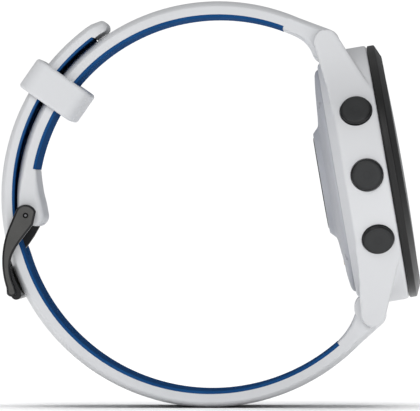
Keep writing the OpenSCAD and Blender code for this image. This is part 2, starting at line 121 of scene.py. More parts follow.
CASE_R, BEZEL_R = 23.05, 22.9
LENS_R, LENS_BOTTOM, LENS_TOP, LENS_SAG = 19.5, 1.32, 2.84, 0.46
BUTTON_R, BUTTON_Z = 2.8, -3.78
BUTTONS = {"light": 60, "up": 90, "down": 120, "start": -60, "lap": -120}  # degrees round the head
SCREW_RING, SCREW_ANGLES = 19.3, (45, 135, 225, 315)
CONTACT_U, CONTACT_PITCH = -14.6, 2.1
LUG, LUG_R, LUG_GAP = (24.6, -6.9), 2.25, 11.15
ROOT_R, LOBE_R, ROOM = 2.4, 2.1, 0.4
LOBE = (-1.18, -0.7)  # middle of the strap end's second round, from the lug's
HALF = 11.0  # half of the strap's width
STRAP_T, TAIL_T = 2.95, 2.45
LINER_T, TAIL_LINER_T = 0.55, 0.44
UPPER_R, LOWER_R, TAIL_R = 33.05, 34.4, 35.15  # inner faces of the strap
ARM_IN, ARM_OUT = 11.3, 12.9
HOLE_STEP, TONGUE_HOLE = 9.5, 194.5  # degrees round the loop
HOLE_LENGTH, HOLE_WIDTH = 3.2, 2.2
KEEPER_AT, KEEPER_LENGTH, KEEPER_WALL = 145.2, 6.1, 1.5
KEEPER_RING, KEEPER_HALF = (27.95, 39.45), 12.8


def on_ring(centre, radius, angle):
    a = math.radians(angle)
    return Vector((centre[0] + radius * math.cos(a), centre[1] + radius * math.sin(a)))


def arc(centre, radius, start, end, steps=12):
    return [on_ring(centre, radius, start + (end - start) * i / steps) for i in range(steps + 1)]


def curve(p0, p1, p2, p3, steps=14):
    """A cubic curve from p0 to p3 that leans towards p1 and p2."""
    made = []
    for i in range(steps + 1):
        t = i / steps
        s = 1 - t
        near = Vector(p0) * s ** 3 + Vector(p1) * 3 * s * s * t
        made.append(near + Vector(p2) * 3 * s * t * t + Vector(p3) * t ** 3)
    return made


def along(path, share):
    """The point at that share of a path's length."""
    path = [Vector(p) for p in path]
    steps = [(b - a).length for a, b in zip(path, path[1:])]
    left = share * sum(steps)
    for a, b, d in zip(path, path[1:], steps):
        if left <= d and d > 0:
            return a.lerp(b, left / d)
        left -= d
    return path[-1]


def head_point(x, y, z):
    return HEAD_MATRIX @ Vector((x, y, z))


# ---------------------------------------------------------------- materials

NOISE_LOW, NOISE_HIGH = 0.3, 0.7  # nearly all of a noise texture lies between these
NOISE_ROUGHNESS = 0.55


def new_material(name):
    material = bpy.data.materials.new(name)
    material.use_nodes = True
    tree = material.node_tree
    return material, tree, tree.nodes["Principled BSDF"]


def add(tree, kind, **inputs):
    node = tree.nodes.new(kind)
    for key, value in inputs.items():
        name = key.replace("_", " ")
        if name in node.inputs:
            node.inputs[name].default_value = value
        else:
            setattr(node, key, value)
    return node


def noise(tree, vector, scale, detail=3.0):
    node = add(tree, "ShaderNodeTexNoise", Scale=scale, Detail=detail, Roughness=NOISE_ROUGHNESS)
    tree.links.new(vector, node.inputs["Vector"])
    return node.outputs["Fac"]


def spread(tree, factor, low, high):
    """A noise value carried over to the range from low to high."""
    node = add(tree, "ShaderNodeMapRange")
    node.inputs["From Min"].default_value = NOISE_LOW
    node.inputs["From Max"].default_value = NOISE_HIGH
    node.inputs["To Min"].default_value = low
    node.inputs["To Max"].default_value = high
    tree.links.new(factor, node.inputs["Value"])
    return node.outputs["Result"]


def mix(tree, factor, first, second):
    node = add(tree, "ShaderNodeMix", data_type="RGBA")
    for socket, value in ((node.inputs[6], first), (node.inputs[7], second)):
        if isinstance(value, tuple):
            socket.default_value = (*value, 1)
        else:
            tree.links.new(value, socket)
    tree.links.new(factor, node.inputs[0])
    return node.outputs[2]


def maths(tree, operation, *values):
    node = add(tree, "ShaderNodeMath", operation=operation)
    for socket, value in zip(node.inputs, values):
        if isinstance(value, (int, float)):
            socket.default_value = value
        else:
            tree.links.new(value, socket)
    return node.outputs[0]


def dot(tree, vector, axis):
    node = add(tree, "ShaderNodeVectorMath", operation="DOT_PRODUCT")
    tree.links.new(vector, node.inputs[0])
    node.inputs[1].default_value = axis
    return node.outputs["Value"]


def head_coordinates(tree, vector):
    """Distances in metres along the head's u, w and n axes from its middle."""
    shift = add(tree, "ShaderNodeVectorMath", operation="SUBTRACT")
    tree.links.new(vector, shift.inputs[0])
    shift.inputs[1].default_value = HEAD * MM
    return [dot(tree, shift.outputs[0], axis) for axis in (U_AXIS, W_AXIS, N_AXIS)]


GLOSS_SPREAD = 0.08
GRAIN_DEPTH, LATHE_DEPTH = 0.00003, 0.00001  # metres


def surface(name, colour, rough, metal=0.0, tone=0.06, patch=90, grain=3200, bump=0.15, sheen=0.0, coat=0.0,
            specular=0.5, second=None):
    """A moulded, cast or coated finish: cloudy colour, uneven gloss and fine grain."""
    material, tree, shader = new_material(name)
    where = add(tree, "ShaderNodeTexCoord").outputs["Object"]
    cloud = noise(tree, where, patch)
    dark = second or tuple(c * (1 - tone) for c in colour)
    tree.links.new(mix(tree, spread(tree, cloud, 0, 1), colour, dark), shader.inputs["Base Color"])
    fine = noise(tree, where, grain, 2.0)
    tree.links.new(spread(tree, fine, rough - GLOSS_SPREAD, rough + GLOSS_SPREAD), shader.inputs["Roughness"])
    lift = add(tree, "ShaderNodeBump", Strength=bump, Distance=GRAIN_DEPTH)
    tree.links.new(fine, lift.inputs["Height"])
    tree.links.new(lift.outputs["Normal"], shader.inputs["Normal"])
    shader.inputs["Metallic"].default_value = metal
    shader.inputs["Specular IOR Level"].default_value = specular
    shader.inputs["Sheen Weight"].default_value = sheen
    shader.inputs["Sheen Roughness"].default_value = 0.5
    shader.inputs["Coat Weight"].default_value = coat
    shader.inputs["Coat Roughness"].default_value = 0.2
    return material


def turned(name, colour, rough, middle, axis, metal, lines=26000):
    """Metal turned on a lathe: fine lines that run round an axis through middle."""
    material, tree, shader = new_material(name)
    where = add(tree, "ShaderNodeTexCoord").outputs["Object"]
    shift = add(tree, "ShaderNodeVectorMath", operation="SUBTRACT")
    tree.links.new(where, shift.inputs[0])
    shift.inputs[1].default_value = middle * MM
    height = dot(tree, shift.outputs[0], axis)
    length = add(tree, "ShaderNodeVectorMath", operation="LENGTH")
    tree.links.new(shift.outputs[0], length.inputs[0])
    squares = [maths(tree, "POWER", value, 2.0) for value in (length.outputs["Value"], height)]
    radius = maths(tree, "SQRT", maths(tree, "MAXIMUM", maths(tree, "SUBTRACT", *squares), 0.0))
    joined = add(tree, "ShaderNodeCombineXYZ")
    tree.links.new(radius, joined.inputs[0])
    tree.links.new(height, joined.inputs[1])
    rings = noise(tree, joined.outputs[0], lines, 2.0)
    cloud = noise(tree, where, 260)
    tree.links.new(mix(tree, spread(tree, rings, 0, 1), colour, tuple(c * 0.72 for c in colour)),
                   shader.inputs["Base Color"])
    mixed = maths(tree, "ADD", maths(tree, "MULTIPLY", rings, 0.6), maths(tree, "MULTIPLY", cloud, 0.4))
    tree.links.new(spread(tree, mixed, rough - 0.08, rough + 0.1), shader.inputs["Roughness"])
    lift = add(tree, "ShaderNodeBump", Strength=0.25, Distance=LATHE_DEPTH)
    tree.links.new(rings, lift.inputs["Height"])
    tree.links.new(lift.outputs["Normal"], shader.inputs["Normal"])
    shader.inputs["Metallic"].default_value = metal
    return material


def glass(name, tint, rough):
    """Clear or tinted glass with faint smears."""
    material, tree, shader = new_material(name)
    where = add(tree, "ShaderNodeTexCoord").outputs["Object"]
    smear = noise(tree, where, 240, 4.0)
    tree.links.new(spread(tree, smear, rough * 0.5, rough * 2), shader.inputs["Roughness"])
    darker = tuple(c * 0.94 for c in tint)
    tree.links.new(mix(tree, spread(tree, smear, 0, 1), tint, darker), shader.inputs["Base Color"])
    shader.inputs["Transmission Weight"].default_value = 1.0
    shader.inputs["IOR"].default_value = 1.5
    return material


def display_material():
    """A display that is switched off: faint marks for the hours and minutes under its cover."""
    material, tree, shader = new_material("display_off")
    where = add(tree, "ShaderNodeTexCoord").outputs["Object"]
    x, y, _ = head_coordinates(tree, where)
    squares = [maths(tree, "MULTIPLY", value, value) for value in (x, y)]
    radius = maths(tree, "SQRT", maths(tree, "ADD", *squares))
    turn = maths(tree, "DIVIDE", maths(tree, "ARCTAN2", y, x), 2 * math.pi)

    def marks(count, half_width, inner, outer):
        """Short strokes round the dial, as 1 on a stroke and 0 beside it."""
        counted = maths(tree, "MULTIPLY", maths(tree, "ADD", turn, 1.0), float(count))
        off = maths(tree, "PINGPONG", counted, 0.5)
        sideways = maths(tree, "MULTIPLY", maths(tree, "MULTIPLY", off, radius), 2 * math.pi / count)
        thin = maths(tree, "LESS_THAN", sideways, half_width * MM)
        ring = maths(tree, "MULTIPLY", maths(tree, "GREATER_THAN", radius, inner * MM),
                     maths(tree, "LESS_THAN", radius, outer * MM))
        return maths(tree, "MULTIPLY", thin, ring)

    mark_end = 16.9
    both = maths(tree, "MAXIMUM", marks(60, 0.07, 16.0, mark_end), marks(12, 0.22, 14.6, mark_end))
    weave = noise(tree, where, 5200, 1.0)
    base = mix(tree, spread(tree, weave, 0, 1), (0.007, 0.009, 0.013), (0.009, 0.011, 0.016))
    tree.links.new(mix(tree, both, base, (0.16, 0.17, 0.18)), shader.inputs["Base Color"])
    tree.links.new(spread(tree, noise(tree, where, 300, 1.0), 0.17, 0.2), shader.inputs["Roughness"])
    return material


SILICONE = surface("silicone_light", (0.715, 0.722, 0.738), 0.52, tone=0.035, patch=70, grain=2600, bump=0.1,
                   sheen=0.08, specular=0.35)
BLUE = surface("silicone_blue", (0.014, 0.080, 0.235), 0.9, second=(0.011, 0.062, 0.195), patch=160,
               grain=2600, bump=0.12, specular=0.01)
POLYMER = surface("polymer_light", (0.715, 0.72, 0.735), 0.42, tone=0.03, patch=60, grain=3600, bump=0.12,
                  specular=0.45)
POLYMER_BACK = surface("polymer_back", (0.50, 0.51, 0.545), 0.45, tone=0.05, patch=80, grain=3600, bump=0.12,
                       specular=0.4)
BEZEL = turned("bezel_coated", (0.03, 0.03, 0.03), 0.38, HEAD, N_AXIS, metal=0.7)
# Near-black: the badge's own colour, and painted shade on the bezel's groove, the buckle's bevels and bar,
# the tongue, the pin's end rings and the buttons' sides.
BLACK = surface("black_finish_and_painted_shade", (0.008, 0.008, 0.009), 0.35, metal=0.3, grain=4000, bump=0.1)
BUCKLE = surface("coating_blasted", (0.085, 0.084, 0.081), 0.45, metal=0.5, tone=0.14, patch=420, grain=5200,
                 bump=0.3)
STEEL = surface("steel_satin", (0.55, 0.56, 0.58), 0.3, metal=1.0, patch=700, grain=9000, bump=0.2)
DARK_STEEL = surface("steel_dark", (0.22, 0.22, 0.23), 0.35, metal=1.0, patch=700, grain=9000, bump=0.2)
GOLD = surface("contact_gold", (0.78, 0.55, 0.2), 0.22, metal=1.0, patch=900, grain=8000, bump=0.1)
RUBBER = surface("seal_rubber", (0.02, 0.02, 0.021), 0.65, tone=0.2, grain=3000)
FRAME_PLASTIC = surface("frame_plastic", (0.035, 0.036, 0.04), 0.5, tone=0.15, grain=2400)
BOARD = surface("solder_mask", (0.012, 0.11, 0.05), 0.3, second=(0.02, 0.15, 0.07), patch=1500, grain=5000,
                coat=0.3)
FOIL = surface("battery_foil", (0.5, 0.51, 0.53), 0.38, metal=0.9, patch=300, grain=1500, bump=0.4)
FILM = surface("polyimide", (0.42, 0.14, 0.02), 0.3, second=(0.3, 0.09, 0.012), patch=1200, grain=3000,
               coat=0.2)
LED = surface("led_resin", (0.22, 0.5, 0.2), 0.15, patch=1800, grain=4000, coat=0.5)
DIODE = surface("diode_resin", (0.02, 0.024, 0.035), 0.12, tone=0.3, patch=1800, grain=4000, coat=0.6)
LENS = glass("lens_glass", (0.93, 0.95, 0.96), 0.02)
WINDOW = glass("window_glass", (0.16, 0.155, 0.17), 0.03)
DISPLAY = display_material()

# ---------------------------------------------------------------- meshes


def mesh_object(name, verts, faces, materials, indices=None):
    """An object from points in millimetres, with equal points joined and its faces turned outwards."""
    mesh = bpy.data.meshes.new(name)
    mesh.from_pydata([Vector(v) * MM for v in verts], [], faces)
    if indices:
        mesh.polygons.foreach_set("material_index", indices)
    made = bmesh.new()
    made.from_mesh(mesh)
    bmesh.ops.remove_doubles(made, verts=made.verts, dist=1e-7)
    bmesh.ops.recalc_face_normals(made, faces=made.faces)
    made.to_mesh(mesh)
    made.free()
    for material in materials:
        mesh.materials.append(material)
    obj = bpy.data.objects.new(name, mesh)
    bpy.context.scene.collection.objects.link(obj)
    return obj


def loft(name, sections, materials, closed=False):
    """A skin through closed sections of the same number of points, capped unless it closes on itself."""
    n, rows = len(sections[0]), len(sections)
    verts = [p for section in sections for p in section]
    faces = []
    for i in range(rows if closed else rows - 1):
        a, b = i * n, (i + 1) % rows * n
        faces += [(a + j, a + (j + 1) % n, b + (j + 1) % n, b + j) for j in range(n)]
    if not closed:
        faces += [tuple(range(n))[::-1], tuple(range((rows - 1) * n, rows * n))]
    return mesh_object(name, verts, faces, materials)


def revolve(name, profile, materials, place=HEAD_MATRIX, steps=160, index=None):
    """A closed (radius, height) outline turned round the axis of place. index gives each edge's material."""
    rows = len(profile)
    verts = []
    for i in range(steps):
        a = 2 * math.pi * i / steps
        verts += [place @ Vector((r * math.cos(a), r * math.sin(a), z)) for r, z in profile]
    faces, marks = [], []
    for i in range(steps):
        a, b = i * rows, (i + 1) % steps * rows
        for j in range(rows):
            k = (j + 1) % rows
            if profile[j][0] == 0 and profile[k][0] == 0:
                continue
            face = (a + j, b + j, b + k, a + k)
            if profile[j][0] == 0:
                face = (a + j, b + k, a + k)
            elif profile[k][0] == 0:
                face = (a + j, b + j, a + k)
            faces.append(face)
            marks.append(index(j) if index else 0)
    return mesh_object(name, verts, faces, materials, marks)


def between_outlines(name, verts, materials):
    """A solid between two outlines of equal length, given one after the other."""
    n = len(verts) // 2
    faces = [tuple(range(n)), tuple(range(n, 2 * n))[::-1]]
    faces += [(i, (i + 1) % n, n + (i + 1) % n, n + i) for i in range(n)]
    return mesh_object(name, verts, faces, materials)


def prism(name, outline, y0, y1, materials):
    """An outline in the side plane, carried from one Y to another."""
    return between_outlines(name, [Vector((p[0], y, p[1])) for y in (y0, y1) for p in outline], materials)


def head_prism(name, outline, low, high):
    """An outline of the head's (u, n), carried along w from low to high."""
    return between_outlines(name, [head_point(u, w, n) for w in (low, high) for u, n in outline], [POLYMER])


def plan_prism(name, outline, low, high):
    """An outline of the head's (u, w), carried along n from low to high."""
    return between_outlines(name, [head_point(u, w, n) for n in (low, high) for u, w in outline], [POLYMER])


def bake_modifiers(obj):
    graph = bpy.context.evaluated_depsgraph_get()
    mesh = bpy.data.meshes.new_from_object(obj.evaluated_get(graph))
    obj.modifiers.clear()
    obj.data = mesh


def boolean(obj, other, operation="DIFFERENCE"):
    """Cuts other out of obj, or joins it on, and then removes other."""
    step = obj.modifiers.new("cut", "BOOLEAN")
    step.operation, step.solver, step.object = operation, "EXACT", other
    bake_modifiers(obj)
    bpy.data.objects.remove(other)
    return obj


def bore(obj, place, radius, low, high, steps):
    """Cuts a round hole along the axis of place, from low to high."""
    outline = [(0, low), (radius, low), (radius, high), (0, high)]
    boolean(obj, revolve("cutter", outline, [POLYMER], place, steps))


def round_cutter(centre, radius, half):
    """A round cutter across the strap, half of its length to each side."""
    return prism("cutter", arc(centre, radius, 0, 350, 35), -half, half, [POLYMER])


def bevel(obj, width, segments, angle, material=-1):
    step = obj.modifiers.new("bevel", "BEVEL")
    step.width, step.segments, step.angle_limit = width * MM, segments, math.radians(angle)
    step.material, step.use_clamp_overlap = material, True
    bake_modifiers(obj)


def smooth(obj, angle=32):
    """Smooth shading with crisp edges, and normals that follow the large faces."""
    mesh = obj.data
    mesh.polygons.foreach_set("use_smooth", [True] * len(mesh.polygons))
    mesh.set_sharp_from_angle(angle=math.radians(angle))
    step = obj.modifiers.new("normals", "WEIGHTED_NORMAL")
    step.keep_sharp, step.weight = True, 60


def finish_piece(obj, slot, body, *nodes, angle=32):
    """Shades a piece, rides it on its body and lets it stand for its CAD nodes."""
    smooth(obj, angle)
    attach(obj, body)
    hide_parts(*nodes)


# ---------------------------------------------------------------- strap

CORNER_POWER = 1.6  # 2 would round the outer edges off as an ellipse
DROP, REACH = 1.05, 2.7  # how far the outer face falls towards its edges, and over what width
SOFT_EDGE, LINED_EDGE, LINER_EDGE = 0.25, 0.04, 0.14
LINER_DROP = 0.02
UPPER_START, UPPER_STOP = 69.6, 169.7  # degrees round the loop, where the even part of a half lies
LOWER_START, LOWER_STOP = 311.4, 127
SEAM = 0.05  # degrees
TONGUE_ROOM = 1.5


def turns(start, stop, steps):
    """Evenly spaced angles from start to stop."""
    return [start + (stop - start) * i / steps for i in range(steps + 1)]


def strap_section(inner, outer, half, edge_in, drop, reach):
    """A closed strap section from an inner to an outer point. The outer edges fall by drop over reach."""
    inner, outer = Vector(inner), Vector(outer)
    thick = (outer - inner).length
    rise = (outer - inner) / thick
    edge_in = min(edge_in, thick * 0.35)
    drop = min(drop, thick * 0.45)
    reach = min(reach, half * 0.7)
    side = []
    for i in range(6):
        a = math.radians(90 * i / 5)
        side.append((half - edge_in * (1 - math.sin(a)), edge_in * (1 - math.cos(a))))
    for i in range(10):
        a = math.radians(90 * i / 9)
        across = math.cos(a) ** (2 / CORNER_POWER) if i < 9 else 0.0
        fall = 1 - math.sin(a) ** (2 / CORNER_POWER)
        side.append((half - reach * (1 - across), thick - drop * fall))
    outline = [(-y, h) for y, h in side] + side[::-1]
    return [Vector((inner.x + rise.x * h, y, inner.y + rise.y * h)) for y, h in outline]


def ring_pair(centre, inner, outer, angle):
    return on_ring(centre, inner, angle), on_ring(centre, outer, angle)


def root_sections(inner_path, outer_path, steps):
    """Sections from the lug to the strap's even part. Their inner edges are softest half-way."""
    sections = []
    for i in range(steps):
        t = (i + 0.35) / steps
        a, b = along(inner_path, t), along(outer_path, t)
        share = min(1, t * 1.1)
        edge = 0.3 + 0.6 * math.sin(math.pi * share ** 0.7)
        drop = min(DROP, 0.3 * (b - a).length)
        sections.append(strap_section(a, b, HALF, edge, drop, REACH * (0.35 + 0.65 * share)))
    return sections


def cutter_oval(centre, angle):
    """A cutter for an oval hole through the strap, at an angle of the loop."""
    a = math.radians(angle)
    out = Vector((math.cos(a), 0, math.sin(a)))
    way = Vector((-math.sin(a), 0, math.cos(a)))
    straight, end_r = (HOLE_LENGTH - HOLE_WIDTH) / 2, HOLE_WIDTH / 2
    outline = [(straight + end_r * math.cos(math.radians(t)), end_r * math.sin(math.radians(t)))
               for t in range(-90, 91, 15)]
    outline += [(-x, -y) for x, y in outline]
    origin = Vector((centre[0], 0, centre[1]))
    sections = [[origin + out * r + way * x + Vector((0, y, 0)) for x, y in outline] for r in (33.0, 39.5)]
    return loft("cutter", sections, [SILICONE])


def lever_slot(lug, lobe):
    """The opening in the strap end for the quick-release lever."""
    way = (Vector(lobe) - Vector(lug)).normalized()
    over = Vector((-way.y, way.x))
    length, half = 5, 0.8
    plan = ((0, -half), (length, -half), (length, half), (0, half))
    corners = [Vector(lug) + way * x + over * z for x, z in plan]
    return prism("cutter", corners, 6.15, 9.15, [SILICONE])


def from_head_side(u, n):
    """The point in the side plane at a place in the head's own axes."""
    p = head_point(u, 0, n)
    return Vector((p.x, p.z))


UPPER_LOBE = from_head_side(LUG[0] + LOBE[0], LUG[1] + LOBE[1])
LOWER_LOBE = from_head_side(-LUG[0] - LOBE[0], LUG[1] + LOBE[1])


def upper_strap():
    """The strap half that holds the buckle, from the lug over the top to the knob round the buckle's pin."""
    outer_r = UPPER_R + STRAP_T
    nose_in = arc(UPPER_LOBE, LOBE_R, 290, 200, 8)
    nose_in += curve((18.147, 63.122), (17.26, 65.56), (15.87, 66.36), on_ring(UPPER_C, UPPER_R, UPPER_START))
    nose_out = arc(UPPER_LOBE, LOBE_R, 290, 335, 5) + arc(UPPER_LUG, ROOT_R, -18, 66, 10)
    nose_out += arc(UPPER_C, outer_r, 66.5, UPPER_START, 4)
    sections = root_sections(nose_in, nose_out, 20)
    even = ring_pair(UPPER_C, UPPER_R, outer_r, UPPER_START)
    sections.append(strap_section(*even, HALF, SOFT_EDGE, DROP, REACH))
    for angle in turns(UPPER_START + SEAM, UPPER_STOP - SEAM, 50):
        lined = ring_pair(UPPER_C, UPPER_R + LINER_T, outer_r, angle)
        sections.append(strap_section(*lined, HALF, LINED_EDGE, DROP, REACH))
    knob_in = [on_ring(UPPER_C, UPPER_R, UPPER_STOP), (-30.95, 40.5), (-30.62, 38.4), (-30.1, 36.4)]
    knob_in += arc((-31.55, 34.1), 1.85, 18, -75, 10)
    knob_out = [on_ring(UPPER_C, outer_r, UPPER_STOP), (-34.45, 40.2), (-34.6, 38.0), (-34.62, 36.0)]
    knob_out += arc(PIN, 1.66, -182, -80, 10)
    knob_steps = 28
    for i in range(knob_steps + 1):
        t = i / knob_steps
        fade = min(1, t * 2.2)
        edge, drop, reach = SOFT_EDGE + 0.95 * fade, DROP * (1 - 0.35 * fade), REACH * (1 - 0.3 * fade)
        sections.append(strap_section(along(knob_in, t), along(knob_out, t), HALF, edge, drop, reach))
    strap = loft("upper_strap_skin", sections, [SILICONE])
    tongue_place = arc(PIN, 2.05, 30, 200, 12) + [(-36.5, 30), (-29, 30)]
    boolean(strap, prism("cutter", tongue_place, -1.35, 1.35, [SILICONE]))
    boolean(strap, lever_slot(UPPER_LUG, UPPER_LOBE))
    smooth(strap)
    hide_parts("upper_strap_root", "upper_strap")
    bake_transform(strap)


def liner(name, pairs, body, node, cutters=()):
    """The coloured lining: a strip through pairs of inner and outer points."""
    sections = [strap_section(*pair, HALF, LINER_EDGE, LINER_DROP, LINER_DROP) for pair in pairs]
    obj = loft(name, sections, [BLUE])
    for cutter in cutters:
        boolean(obj, cutter)
    finish_piece(obj, "liner_blue", body, node)


def tongue_cutter():
    """The way of the tongue through the strap."""
    neck = [(-33.6, 30.8), (-31.2, 30.9), (-32.0, 28.4), (-33.6, 26.2), (-35.0, 23.6), (-37.6, 24.2),
            (-37.2, 26.6), (-35.6, 28.8)]
    return prism("cutter", neck, -TONGUE_ROOM, TONGUE_ROOM, [SILICONE])


def hole_cutters():
    """Cutters for the holes on both sides of the one that holds the tongue."""
    places = [(LOWER_C, TONGUE_HOLE + HOLE_STEP * i) for i in (1, 2, 3)]
    places += [(TAIL_C, TONGUE_HOLE - HOLE_STEP * i) for i in (1, 2, 3, 4, 5)]
    return [cutter_oval(c, a) for c, a in places]


def lower_pair(angle):
    """Inner and outer points of the lower half at an angle of the loop, and how far it has thinned there."""
    thin_from, thin_over = 197, 8
    t = min(1, max(0, (thin_from - angle) / thin_over))
    t = t * t * (3 - 2 * t)
    inner = on_ring(LOWER_C, LOWER_R, angle).lerp(on_ring(TAIL_C, TAIL_R, angle), t)
    outer = on_ring(LOWER_C, LOWER_R + STRAP_T, angle).lerp(on_ring(TAIL_C, TAIL_R + TAIL_T, angle), t)
    return inner, outer, t


def lining_top(inner, outer, t):
    """The point where the lining meets the strap, between an inner and an outer point."""
    return inner + (outer - inner).normalized() * (LINER_T * (1 - t) + TAIL_LINER_T * t)


def lower_strap():
    """The strap half with the holes, from the lug round under the watch and up to its free end."""
    outer_r = LOWER_R + STRAP_T
    nose_in = arc(LOWER_LOBE, LOBE_R, 84, 180, 8)
    nose_in += curve((26.0, 17.68), (25.75, 15.6), (24.3, 13.0), on_ring(LOWER_C, LOWER_R, LOWER_START))
    nose_out = arc(LOWER_LOBE, LOBE_R, 84, 52, 3) + arc(LOWER_LUG, ROOT_R, 62, -40, 10)
    nose_out += [on_ring(LOWER_C, outer_r, angle) for angle in (316, 314, LOWER_START)]
    sections = root_sections(nose_in, nose_out, 22)
    even = ring_pair(LOWER_C, LOWER_R, outer_r, LOWER_START)
    sections.append(strap_section(*even, HALF, SOFT_EDGE, DROP, REACH))
    for angle in turns(LOWER_START - SEAM, LOWER_STOP, 82):
        inner, outer, t = lower_pair(angle)
        lined = lining_top(inner, outer, t)
        sections.append(strap_section(lined, outer, HALF, LINED_EDGE, DROP * (1 - 0.1 * t), REACH))
    tip_c, tip_at, tip_r = on_ring(TAIL_C, TAIL_R + 1.05, 123), LOWER_STOP - 0.5, 1.05
    tip_in = [on_ring(TAIL_C, TAIL_R, tip_at), on_ring(TAIL_C, TAIL_R + 0.05, tip_at - 2)]
    tip_in += arc(tip_c, tip_r, -60, 20, 8)
    outside = ((TAIL_T, 0), (TAIL_T - 0.06, 1.5), (2.18, 2.9))
    tip_out = [on_ring(TAIL_C, TAIL_R + height, tip_at - turn) for height, turn in outside]
    tip_out += arc(tip_c, tip_r + 0.03, 96, 22, 8)
    tip_steps = 17
    for i in range(tip_steps):
        t = i / tip_steps + 0.01
        half = HALF - 4.5 * (1 - math.sqrt(max(0, 1 - t ** 3)))
        sections.append(strap_section(along(tip_in, t), along(tip_out, t), half, SOFT_EDGE, 0.9, REACH))
    strap = loft("lower_strap_skin", sections, [SILICONE])
    for cutter in hole_cutters():
        boolean(strap, cutter)
    boolean(strap, tongue_cutter())
    boolean(strap, lever_slot(LOWER_LUG, LOWER_LOBE))
    smooth(strap)
    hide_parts("lower_strap_root", "lower_strap")
    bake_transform(strap)


def upper_liner_pairs():
    for angle in turns(UPPER_START + 2 * SEAM, UPPER_STOP - 2 * SEAM, 50):
        yield ring_pair(UPPER_C, UPPER_R, UPPER_R + LINER_T, angle)


def lower_liner_pairs():
    for angle in turns(LOWER_START - 2 * SEAM, LOWER_STOP - 2 * SEAM, 92):
        inner, outer, t = lower_pair(angle)
        yield inner, lining_top(inner, outer, t)


upper_strap()
liner("upper_liner_skin", upper_liner_pairs(), "upper_band", "upper_strap_liner")
lower_strap()
liner("lower_liner_skin", lower_liner_pairs(), "lower_band", "lower_strap_liner",
      hole_cutters() + [tongue_cutter()])

# ---------------------------------------------------------------- keeper


def rounded_corner(middle, radius, start, steps):
    """Pairs of a point on a quarter circle and the direction out of it."""
    made = []
    for i in range(steps + 1):
        a = math.radians(start + 90 * i / steps)
        normal = Vector((math.cos(a), math.sin(a)))
        made.append((Vector(middle) + normal * radius, normal))
    return made


def keeper():
    """The loop round both strap halves: a rounded bar section carried round a rounded rectangle."""
    middle = (KEEPER_RING[0] + KEEPER_RING[1]) / 2
    deep = (KEEPER_RING[1] - KEEPER_RING[0]) / 2
    corner, edge, half = 2.6, 0.62, KEEPER_LENGTH / 2
    path = []
    for x, y, start in ((1, 1, 0), (-1, 1, 90), (-1, -1, 180), (1, -1, 270)):
        path += rounded_corner((x * (deep - corner), y * (KEEPER_HALF - corner)), corner, start, 10)
    outline = []
    top, bottom = -edge, edge - KEEPER_WALL
    for x, y, start in ((top, 1, 0), (bottom, 1, 90), (bottom, -1, 180), (top, -1, 270)):
        outline += [point for point, _ in rounded_corner((x, y * (half - edge)), edge, start, 5)]
    a = math.radians(KEEPER_AT)
    out, way = Vector((math.cos(a), 0, math.sin(a))), Vector((-math.sin(a), 0, math.cos(a)))
    origin = Vector((LOWER_C[0], 0, LOWER_C[1])) + out * middle
    sections = []
    for at, normal in path:
        section = []
        for depth, length in outline:
            p = at + normal * depth
            section.append(origin + out * p.x + Vector((0, p.y, 0)) + way * length)
        sections.append(section)
    finish_piece(loft("keeper_skin", sections, [SILICONE], closed=True), "strap_light", "keeper", "keeper")


keeper()

# ---------------------------------------------------------------- case

RING_INNER, RING_FRONT = 16.0, -0.05
LUG_ROOT = 12.0


def button_matrix(angle):
    """The axes of a button: z points out of the head."""
    turned_place = HEAD_MATRIX @ Matrix.Rotation(math.radians(angle), 4, "Z")
    return turned_place @ Matrix.Translation((0, 0, BUTTON_Z)) @ Matrix.Rotation(math.radians(90), 4, "Y")


def lug(end, side):
    """One lug: the side outline of a strap end's lugs, cut to the lug's outline as seen from the front."""
    outline = [(LUG_ROOT, -0.15), (14.3, -0.15)] + arc(LUG, LUG_R, 66, -98, 18)
    outline += [(21, -8.75), (16.5, -8.2), (LUG_ROOT, -8.1)]
    piece = head_prism("lug", [(end * u, n) for u, n in outline], -20, 20)
    plan = [(LUG_ROOT, side * LUG_GAP), (LUG_ROOT, side * 19.4)]
    plan += curve((13.0, side * 18.95), (17.5, side * 15.9), (22.0, side * 13.6), (27.2, side * 13.2), 14)
    plan.append((27.2, side * LUG_GAP))
    boolean(piece, plan_prism("plan", [(end * u, w) for u, w in plan], -12, 3), "INTERSECT")
    bevel(piece, 0.55, 4, 40)
    return piece


def case():
    """The case ring with its lugs melted into it, cut free for what it holds."""
    ring = [(RING_INNER, -9.25), (20.75, -9.25), (22.95, -7.72), (CASE_R, -7.5), (CASE_R, -0.3),
            (22.78, RING_FRONT), (RING_INNER, RING_FRONT)]
    body = revolve("case_skin", ring, [POLYMER])
    for end in (1, -1):
        for side in (1, -1):
            boolean(body, lug(end, side), "UNION")
    step = body.modifiers.new("remesh", "REMESH")
    step.mode, step.voxel_size = "VOXEL", 0.24 * MM
    step = body.modifiers.new("soften", "SMOOTH")
    step.factor, step.iterations = 0.5, 5
    bake_modifiers(body)
    body.data.materials.clear()
    body.data.materials.append(POLYMER)
    cavity = [(0, -11), (20.3, -11), (20.3, -8.0), (17.2, -8.0), (17.2, -6.4), (20.4, -6.4), (20.4, -1.4),
              (21.4, -1.4), (21.4, 1), (0, 1)]
    boolean(body, revolve("cutter", cavity, [POLYMER]))
    for angle in BUTTONS.values():
        bore(body, button_matrix(angle), BUTTON_R + 0.15, 21.5, 26, 64)
        bore(body, button_matrix(angle), 1.05, 17, 23, 32)
    for root, lobe in ((UPPER_LUG, UPPER_LOBE), (LOWER_LUG, LOWER_LOBE)):
        boolean(body, round_cutter(root, ROOT_R + ROOM, LUG_GAP))
        boolean(body, round_cutter(lobe, LOBE_R + ROOM, LUG_GAP))
    finish_piece(body, "case_polymer", "case", "case_body", angle=40)


